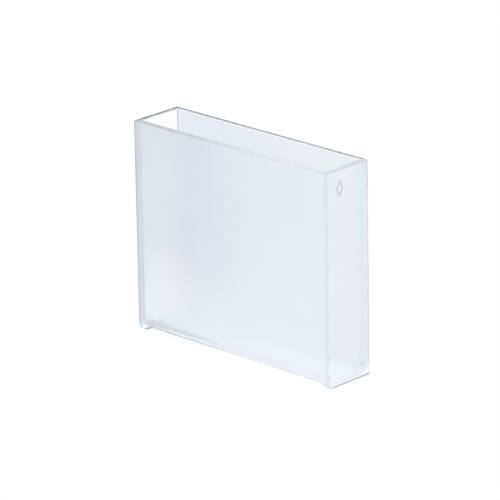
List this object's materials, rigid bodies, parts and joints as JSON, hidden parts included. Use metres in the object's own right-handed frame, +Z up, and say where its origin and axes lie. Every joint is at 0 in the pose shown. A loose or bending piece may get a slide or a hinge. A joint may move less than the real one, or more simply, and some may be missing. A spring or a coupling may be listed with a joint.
{
  "type": "spectrophotometer cuvette",
  "caption": "Long rectangular spectrophotometer cell of fused silica: clear polished end windows on a U-shaped channel frosted outside, open at the top.",
  "frame": {"origin": "middle of the footprint, in the plane of the feet that the cell rests on", "axes": "+X along the light path, from the left window to the right one; +Y across the channel, away from the side with the round key corners; +Z up, out of the open mouth"},
  "size_m": [0.0524, 0.0126, 0.045],
  "materials": {
    "clear_silica": "clear fused silica, optically polished faces and finely ground edges",
    "frosted_silica": "fused silica, ground to an even frost outside and smooth inside"
  },
  "bodies": {
    "root": {"window_left": "clear_silica", "window_right": "clear_silica", "channel": "frosted_silica"}
  },
  "joints": []
}
